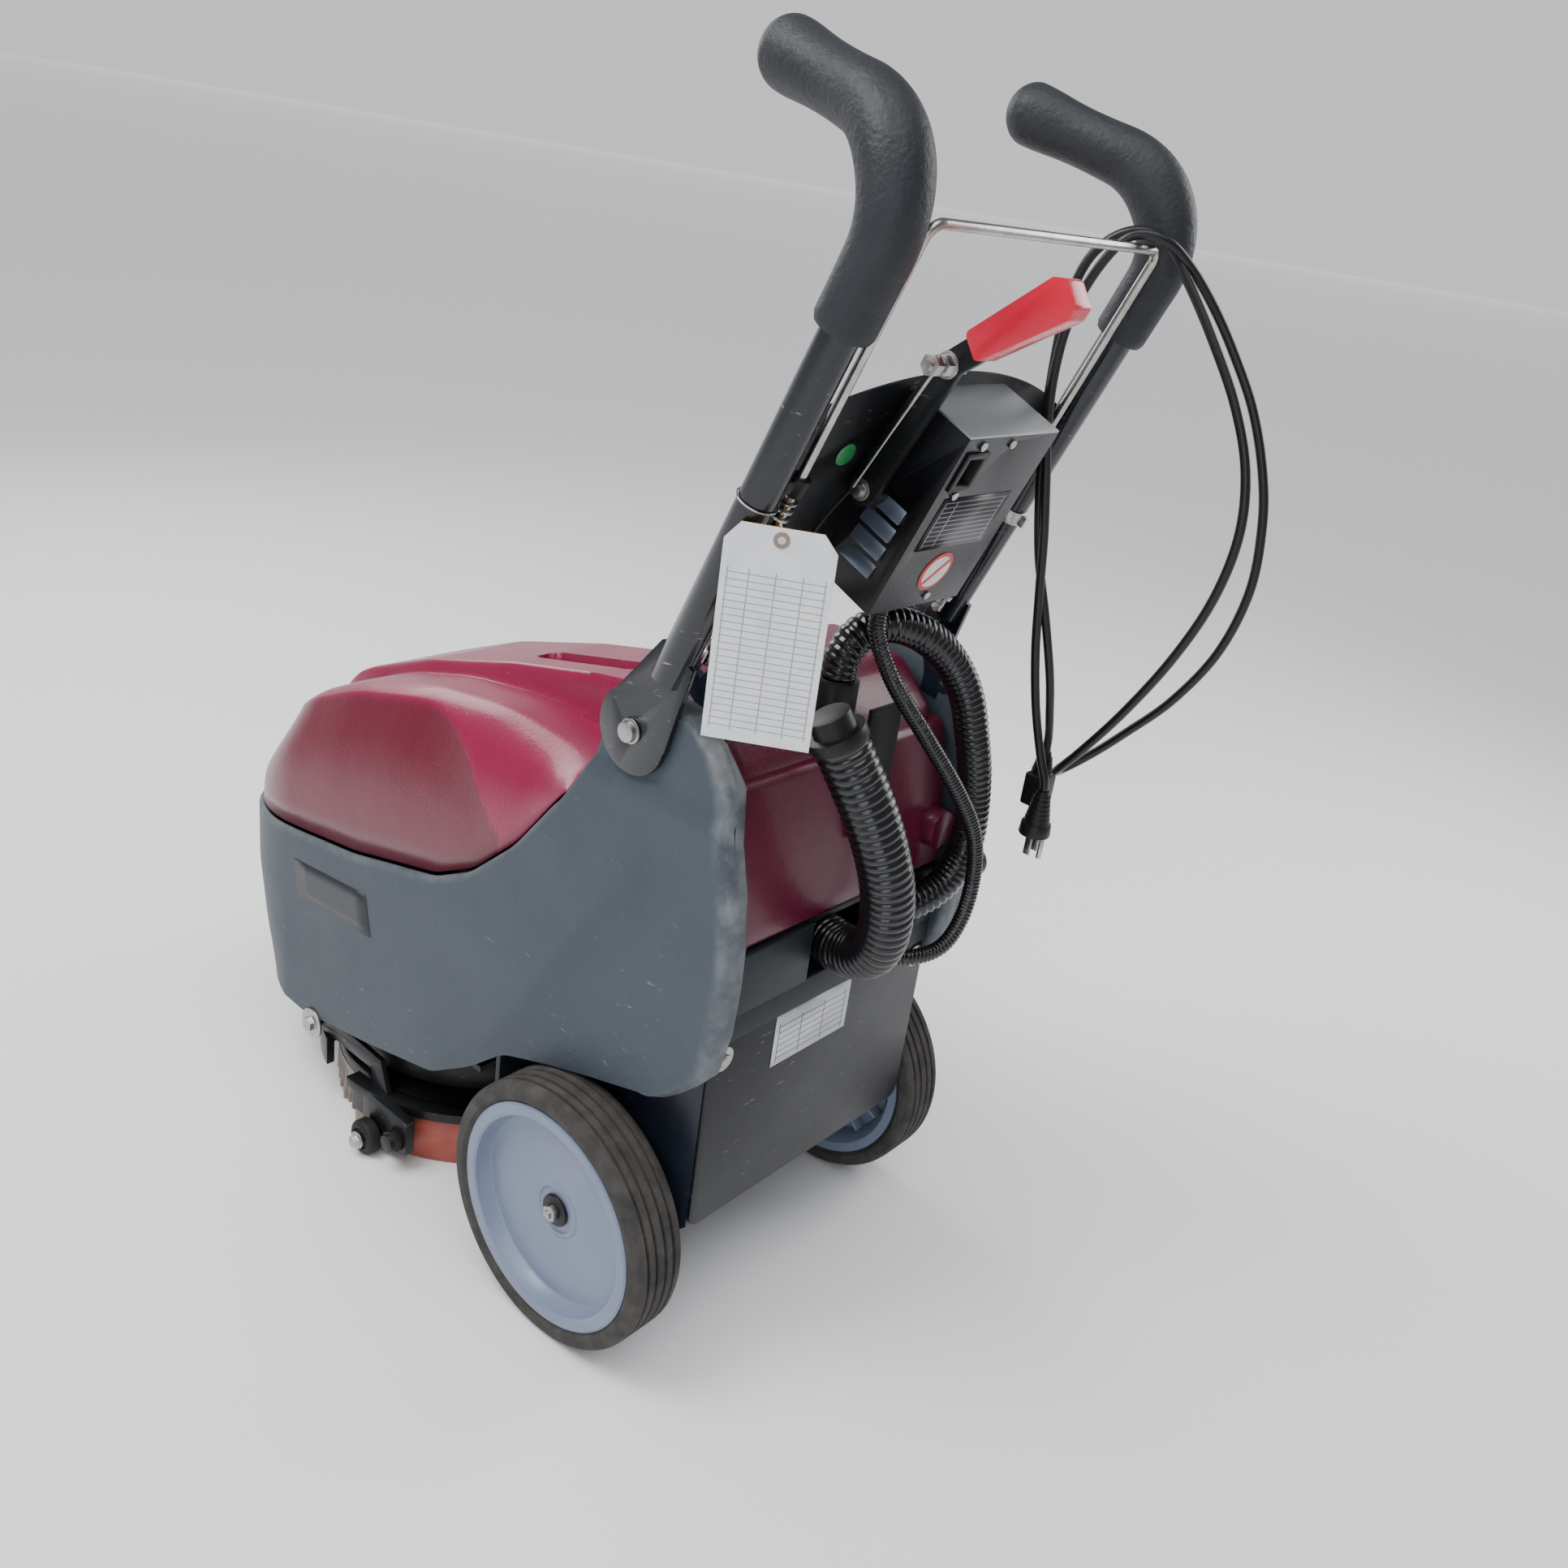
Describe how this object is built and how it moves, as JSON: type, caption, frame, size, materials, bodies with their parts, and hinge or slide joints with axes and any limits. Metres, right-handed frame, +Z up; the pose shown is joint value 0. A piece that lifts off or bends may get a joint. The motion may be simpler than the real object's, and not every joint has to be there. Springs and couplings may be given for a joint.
{
  "type": "walk-behind floor scrubber",
  "caption": "Compact battery walk-behind floor scrubber with disc brush, curved squeegee, twin tanks, tilting handle with release bar, lift lever, hoses and mains lead.",
  "frame": {"origin": "on the floor, midway across the width and along the length of the machine without its hanging mains lead", "axes": "+Z up; the nose points to -Y and the operator's handle to +Y; the machine's left side is +X; the wheel axle runs along X"},
  "size_m": [0.41, 0.9287, 1.0445],
  "materials": {
    "base_plastic": "blue-grey rotomoulded polyethylene, fine grain",
    "lid_plastic": "crimson moulded polyethylene, satin",
    "tank_plastic": "dark maroon moulded polyethylene",
    "black_plastic": "black moulded plastic",
    "black_sheet": "satin black powder coat, scratched",
    "frame_paint": "blue-black paint",
    "tube_paint": "gloss black paint, scuffed",
    "zinc": "zinc plated, dulled",
    "plated_rod": "nickel plated, worn",
    "lid_metal": "brushed sheet",
    "tyre": "worn grey-brown rubber",
    "rim_plastic": "blue-grey moulded rim",
    "roller_rubber": "black rubber",
    "hose_rubber": "glossy black ribbed hose",
    "cord_rubber": "satin black cord jacket",
    "grip_foam": "charcoal grained foam",
    "bristle": "pinkish-grey nylon bristle",
    "blade_tan": "grey-brown gum rubber",
    "blade_red": "red squeegee rubber",
    "lever_red": "red-pink moulded grip",
    "button_green": "green button",
    "button_blue": "blue button",
    "motor_case": "cast motor housing",
    "battery_case": "moulded battery case",
    "card": "white ruled inspection card"
  },
  "bodies": {
    "chassis": {"base_shell": "base_plastic", "recovery_tank": "tank_plastic", "rear_cover": "black_sheet", "rear_cover_bolts": "zinc", "chassis_frame": "frame_paint", "axle": "zinc", "axle_bolts": "zinc", "battery": "battery_case", "vacuum_motor": "motor_case", "brush_motor": "motor_case", "water_fitting": "zinc", "brush_deck": "black_plastic", "deck_pivot_bolts": "zinc", "ratchet_sectors": "frame_paint", "pivot_bolts": "zinc", "suction_hose": "hose_rubber", "suction_cuff": "black_plastic", "drain_hose": "hose_rubber", "drain_plug": "black_plastic", "hose_clip": "black_plastic", "cable_conduit": "hose_rubber", "side_latch": "black_plastic", "lid_pin": "zinc"},
    "lid": {"tank_lid": "lid_plastic"},
    "left_wheel": {"left_tyre": "tyre", "left_rim": "rim_plastic"},
    "right_wheel": {"right_tyre": "tyre", "right_rim": "rim_plastic"},
    "brush": {"brush_disc": "black_plastic", "brush_bristles": "bristle"},
    "squeegee": {"squeegee_frame": "frame_paint", "inner_blade": "blade_tan", "outer_blade": "blade_red", "squeegee_knobs": "black_plastic", "roller_bolts": "zinc"},
    "left_caster": {"left_roller": "roller_rubber"},
    "right_caster": {"right_roller": "roller_rubber"},
    "handle": {"left_tube": "tube_paint", "right_tube": "tube_paint", "left_grip": "grip_foam", "right_grip": "grip_foam", "dash_panel": "black_sheet", "charger_box": "black_sheet", "charger_lid": "lid_metal", "power_inlet": "black_plastic", "charger_screws": "zinc", "rod_guides": "black_plastic", "lift_cable": "plated_rod", "lever_pivot": "zinc", "latch_springs": "plated_rod", "tag_ring": "zinc"},
    "bail": {"release_bar": "plated_rod"},
    "lever": {"lever_arm": "tube_paint", "lever_grip": "lever_red", "lever_bolt": "zinc"},
    "brush_button": {"brush_switch": "button_green"},
    "vacuum_button": {"vacuum_switch": "button_blue"},
    "tag": {"inspection_tag": "card", "tag_wire": "zinc"},
    "lead": {"mains_cord": "cord_rubber", "mains_plug": "black_plastic", "mains_connector": "black_plastic"}
  },
  "joints": [
    {"name": "left_wheel_spin", "type": "hinge", "parent": "chassis", "child": "left_wheel", "pos_m": [0.179, 0.18077, 0.12], "axis": [1, 0, 0], "continuous": true},
    {"name": "right_wheel_spin", "type": "hinge", "parent": "chassis", "child": "right_wheel", "pos_m": [-0.179, 0.18077, 0.12], "axis": [1, 0, 0], "continuous": true},
    {"name": "brush_spin", "type": "hinge", "parent": "chassis", "child": "brush", "pos_m": [0, -0.14723, 0.05], "axis": [0, 0, 1], "continuous": true},
    {"name": "lid_hinge", "type": "hinge", "parent": "chassis", "child": "lid", "pos_m": [0, -0.43123, 0.266], "axis": [1, 0, 0], "range_deg": [0, 60]},
    {"name": "handle_tilt", "type": "hinge", "parent": "chassis", "child": "handle", "pos_m": [0, 0.19877, 0.567], "axis": [-1, 0, 0], "range_deg": [0, 25], "deforming": ["cable_conduit"]},
    {"name": "release_slide", "type": "slide", "parent": "handle", "child": "bail", "axis": [0, 0.3907, 0.9205], "range_m": [0, 0.008], "stiffness_N_per_m": 1500, "deforming": ["latch_springs"]},
    {"name": "lift_lever", "type": "hinge", "parent": "handle", "child": "lever", "pos_m": [0.068, 0.29762, 0.76404], "axis": [-1, 0, 0], "range_deg": [0, 60]},
    {"name": "squeegee_lift", "type": "hinge", "parent": "chassis", "child": "squeegee", "pos_m": [0, -0.21423, 0.088], "axis": [1, 0, 0], "range_deg": [0, 4.8]},
    {"name": "left_roller_spin", "type": "hinge", "parent": "squeegee", "child": "left_caster", "pos_m": [0.1815, -0.10423, 0.018], "axis": [1, 0, 0], "continuous": true},
    {"name": "right_roller_spin", "type": "hinge", "parent": "squeegee", "child": "right_caster", "pos_m": [-0.1815, -0.10423, 0.018], "axis": [1, 0, 0], "continuous": true},
    {"name": "brush_press", "type": "slide", "parent": "handle", "child": "brush_button", "axis": [0, 0.9205, -0.3907], "range_m": [0, 0.002], "stiffness_N_per_m": 800},
    {"name": "vacuum_press", "type": "slide", "parent": "handle", "child": "vacuum_button", "axis": [0, 0.9205, -0.3907], "range_m": [0, 0.002], "stiffness_N_per_m": 800},
    {"name": "tag_swing", "type": "hinge", "parent": "handle", "child": "tag", "pos_m": [0.17, 0.30307, 0.7552], "axis": [-1, 0, 0], "range_deg": [-25, 0]},
    {"name": "lead_swing", "type": "hinge", "parent": "bail", "child": "lead", "pos_m": [0, 0.37077, 0.944], "axis": [-1, 0, 0], "range_deg": [-25, 0]}
  ],
  "couplings": [
    {"joint": "lift_lever", "follows": "squeegee_lift", "ratio": 12.5},
    {"joint": "tag_swing", "follows": "handle_tilt", "ratio": -1},
    {"joint": "lead_swing", "follows": "handle_tilt", "ratio": -1}
  ]
}
